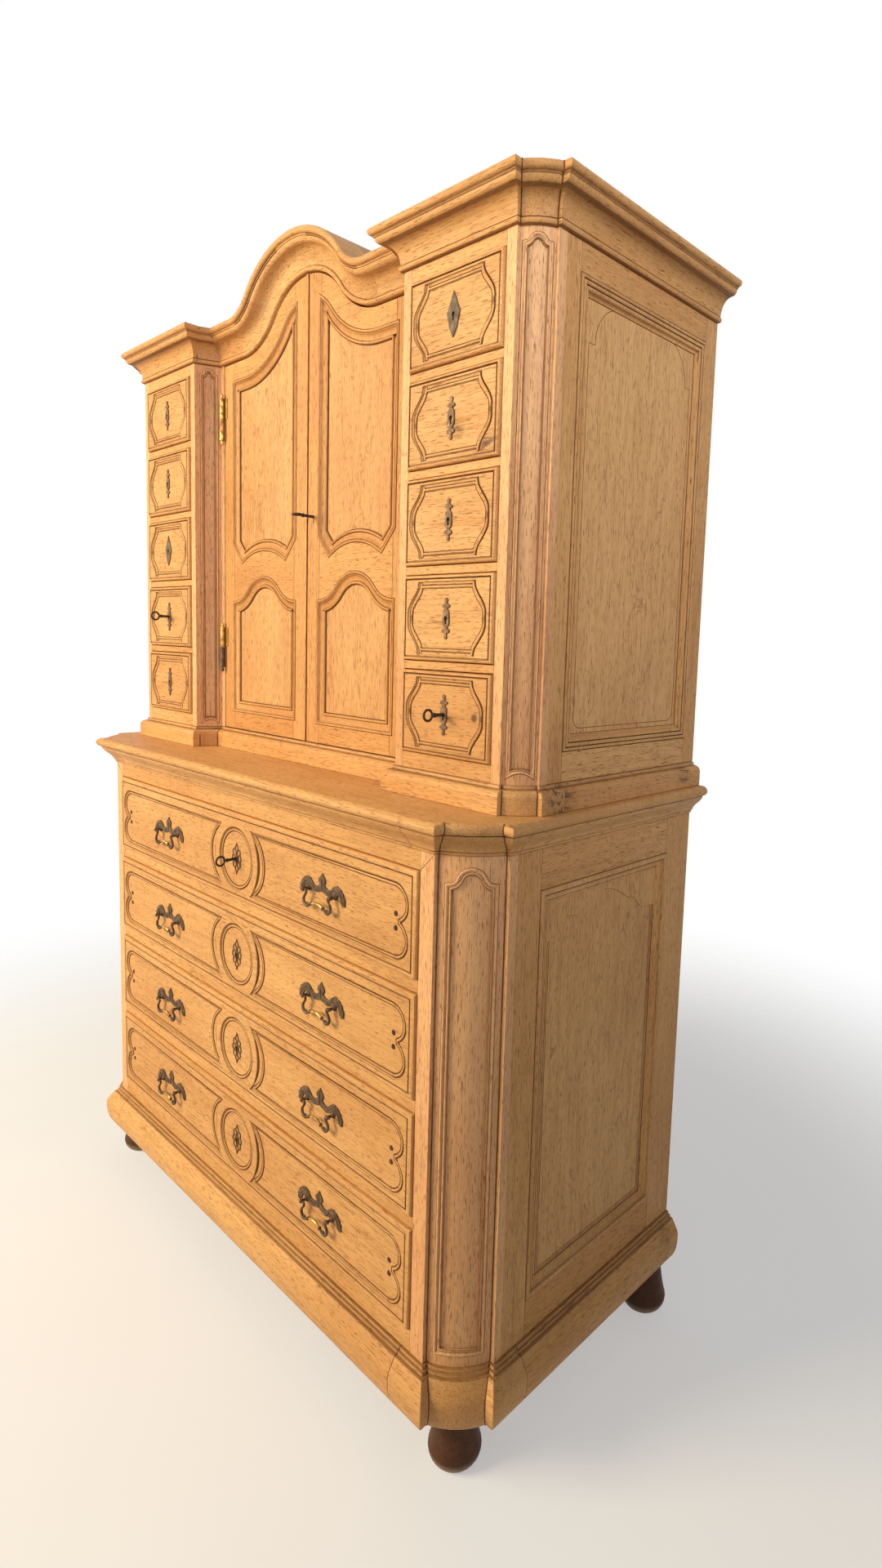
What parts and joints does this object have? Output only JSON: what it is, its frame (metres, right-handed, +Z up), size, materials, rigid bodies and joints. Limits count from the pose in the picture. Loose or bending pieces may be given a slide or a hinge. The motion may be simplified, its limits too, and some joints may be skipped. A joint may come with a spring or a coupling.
{
  "type": "two-piece buffet",
  "caption": "Oak buffet in two pieces: canted chest of long drawers under a cabinet with arched panelled doors between banks of small drawers.",
  "frame": {"origin": "on the floor below the centre of the buffet's bounding box", "axes": "+X to the viewer's right, -Y to the front with the drawers, +Z up"},
  "size_m": [1.4178, 0.66, 2.151],
  "materials": {
    "oak": "waxed",
    "oak_panel": "waxed",
    "foot_oak": "dark stain",
    "bronze": "dark patina",
    "brass": "worn",
    "steel": "worn"
  },
  "bodies": {
    "carcase": {"arch_cornice": "oak", "bank_cornice": "oak", "bank_rails": "oak", "corner_posts": "oak", "cupboard_shelves": "oak", "drawer_runners": "oak", "dust_boards": "oak", "feet": "foot_oak", "hinge_pins": "brass", "inner_posts": "oak", "lower_back": "oak", "lower_bottom": "oak", "lower_rails": "oak", "lower_side_frames": "oak", "lower_side_panels": "oak_panel", "lower_top": "oak", "outer_posts": "oak", "plinth": "oak", "roof": "oak", "upper_back": "oak", "upper_base": "oak", "upper_side_frames": "oak", "upper_side_panels": "oak_panel"},
    "long_drawer_1": {"long_drawer_1": "oak", "long_drawer_1_fittings": "bronze"},
    "long_drawer_2": {"long_drawer_2": "oak", "long_drawer_2_fittings": "bronze"},
    "long_drawer_3": {"long_drawer_3": "oak", "long_drawer_3_fittings": "bronze"},
    "long_drawer_4": {"long_drawer_4": "oak", "long_drawer_4_fittings": "bronze"},
    "small_drawer_left_1": {"small_drawer_left_1": "oak"},
    "small_drawer_left_2": {"small_drawer_left_2": "oak"},
    "small_drawer_left_3": {"small_drawer_left_3": "oak"},
    "small_drawer_left_4": {"small_drawer_left_4": "oak"},
    "small_drawer_left_5": {"small_drawer_left_5": "oak"},
    "door_left": {"door_left_frame": "oak", "door_left_panels": "oak_panel", "door_left_hinges": "brass"},
    "bail_left_1": {"bail_left_1": "bronze"},
    "bail_left_2": {"bail_left_2": "bronze"},
    "bail_left_3": {"bail_left_3": "bronze"},
    "bail_left_4": {"bail_left_4": "bronze"},
    "small_drawer_right_1": {"small_drawer_right_1": "oak"},
    "small_drawer_right_2": {"small_drawer_right_2": "oak"},
    "small_drawer_right_3": {"small_drawer_right_3": "oak"},
    "small_drawer_right_4": {"small_drawer_right_4": "oak"},
    "small_drawer_right_5": {"small_drawer_right_5": "oak"},
    "door_right": {"door_right_frame": "oak", "door_right_panels": "oak_panel", "door_right_hinges": "brass"},
    "bail_right_1": {"bail_right_1": "bronze"},
    "bail_right_2": {"bail_right_2": "bronze"},
    "bail_right_3": {"bail_right_3": "bronze"},
    "bail_right_4": {"bail_right_4": "bronze"},
    "key_long_drawer": {"key_long_drawer": "steel"},
    "key_small_left": {"key_small_left": "steel"},
    "key_small_right": {"key_small_right": "steel"},
    "key_door": {"key_door": "steel"}
  },
  "joints": [
    {"name": "long_drawer_1_slide", "type": "slide", "parent": "carcase", "child": "long_drawer_1", "axis": [0, -1, 0], "range_m": [0, 0.4]},
    {"name": "long_drawer_2_slide", "type": "slide", "parent": "carcase", "child": "long_drawer_2", "axis": [0, -1, 0], "range_m": [0, 0.4]},
    {"name": "long_drawer_3_slide", "type": "slide", "parent": "carcase", "child": "long_drawer_3", "axis": [0, -1, 0], "range_m": [0, 0.4]},
    {"name": "long_drawer_4_slide", "type": "slide", "parent": "carcase", "child": "long_drawer_4", "axis": [0, -1, 0], "range_m": [0, 0.4]},
    {"name": "small_drawer_left_1_slide", "type": "slide", "parent": "carcase", "child": "small_drawer_left_1", "axis": [0, -1, 0], "range_m": [0, 0.33]},
    {"name": "small_drawer_left_2_slide", "type": "slide", "parent": "carcase", "child": "small_drawer_left_2", "axis": [0, -1, 0], "range_m": [0, 0.33]},
    {"name": "small_drawer_left_3_slide", "type": "slide", "parent": "carcase", "child": "small_drawer_left_3", "axis": [0, -1, 0], "range_m": [0, 0.33]},
    {"name": "small_drawer_left_4_slide", "type": "slide", "parent": "carcase", "child": "small_drawer_left_4", "axis": [0, -1, 0], "range_m": [0, 0.33]},
    {"name": "small_drawer_left_5_slide", "type": "slide", "parent": "carcase", "child": "small_drawer_left_5", "axis": [0, -1, 0], "range_m": [0, 0.33]},
    {"name": "small_drawer_right_1_slide", "type": "slide", "parent": "carcase", "child": "small_drawer_right_1", "axis": [0, -1, 0], "range_m": [0, 0.33]},
    {"name": "small_drawer_right_2_slide", "type": "slide", "parent": "carcase", "child": "small_drawer_right_2", "axis": [0, -1, 0], "range_m": [0, 0.33]},
    {"name": "small_drawer_right_3_slide", "type": "slide", "parent": "carcase", "child": "small_drawer_right_3", "axis": [0, -1, 0], "range_m": [0, 0.33]},
    {"name": "small_drawer_right_4_slide", "type": "slide", "parent": "carcase", "child": "small_drawer_right_4", "axis": [0, -1, 0], "range_m": [0, 0.33]},
    {"name": "small_drawer_right_5_slide", "type": "slide", "parent": "carcase", "child": "small_drawer_right_5", "axis": [0, -1, 0], "range_m": [0, 0.33]},
    {"name": "door_left_hinge", "type": "hinge", "parent": "carcase", "child": "door_left", "pos_m": [-0.328, -0.1355, 1.59], "axis": [0, 0, -1], "range_deg": [0, 88]},
    {"name": "door_right_hinge", "type": "hinge", "parent": "carcase", "child": "door_right", "pos_m": [0.328, -0.1355, 1.59], "axis": [0, 0, 1], "range_deg": [0, 88]},
    {"name": "bail_left_1_pivot", "type": "hinge", "parent": "long_drawer_1", "child": "bail_left_1", "pos_m": [-0.296, -0.2955, 0.9145], "axis": [-1, 0, 0], "range_deg": [0, 95]},
    {"name": "bail_right_1_pivot", "type": "hinge", "parent": "long_drawer_1", "child": "bail_right_1", "pos_m": [0.296, -0.2955, 0.9145], "axis": [-1, 0, 0], "range_deg": [0, 95]},
    {"name": "bail_left_2_pivot", "type": "hinge", "parent": "long_drawer_2", "child": "bail_left_2", "pos_m": [-0.296, -0.2955, 0.7145], "axis": [-1, 0, 0], "range_deg": [0, 95]},
    {"name": "bail_right_2_pivot", "type": "hinge", "parent": "long_drawer_2", "child": "bail_right_2", "pos_m": [0.296, -0.2955, 0.7145], "axis": [-1, 0, 0], "range_deg": [0, 95]},
    {"name": "bail_left_3_pivot", "type": "hinge", "parent": "long_drawer_3", "child": "bail_left_3", "pos_m": [-0.296, -0.2955, 0.5145], "axis": [-1, 0, 0], "range_deg": [0, 95]},
    {"name": "bail_right_3_pivot", "type": "hinge", "parent": "long_drawer_3", "child": "bail_right_3", "pos_m": [0.296, -0.2955, 0.5145], "axis": [-1, 0, 0], "range_deg": [0, 95]},
    {"name": "bail_left_4_pivot", "type": "hinge", "parent": "long_drawer_4", "child": "bail_left_4", "pos_m": [-0.296, -0.2955, 0.3145], "axis": [-1, 0, 0], "range_deg": [0, 95]},
    {"name": "bail_right_4_pivot", "type": "hinge", "parent": "long_drawer_4", "child": "bail_right_4", "pos_m": [0.296, -0.2955, 0.3145], "axis": [-1, 0, 0], "range_deg": [0, 95]},
    {"name": "key_long_drawer_turn", "type": "hinge", "parent": "long_drawer_1", "child": "key_long_drawer", "pos_m": [0, -0.28, 0.9145], "axis": [0, 1, 0], "range_deg": [0, 180]},
    {"name": "key_small_left_turn", "type": "hinge", "parent": "small_drawer_left_4", "child": "key_small_left", "pos_m": [-0.493, -0.182, 1.4], "axis": [0, 1, 0], "range_deg": [0, 180]},
    {"name": "key_small_right_turn", "type": "hinge", "parent": "small_drawer_right_5", "child": "key_small_right", "pos_m": [0.493, -0.182, 1.242], "axis": [0, 1, 0], "range_deg": [0, 180]},
    {"name": "key_door_turn", "type": "hinge", "parent": "door_right", "child": "key_door", "pos_m": [0.03, -0.129, 1.605], "axis": [0, 1, 0], "range_deg": [0, 180]}
  ]
}
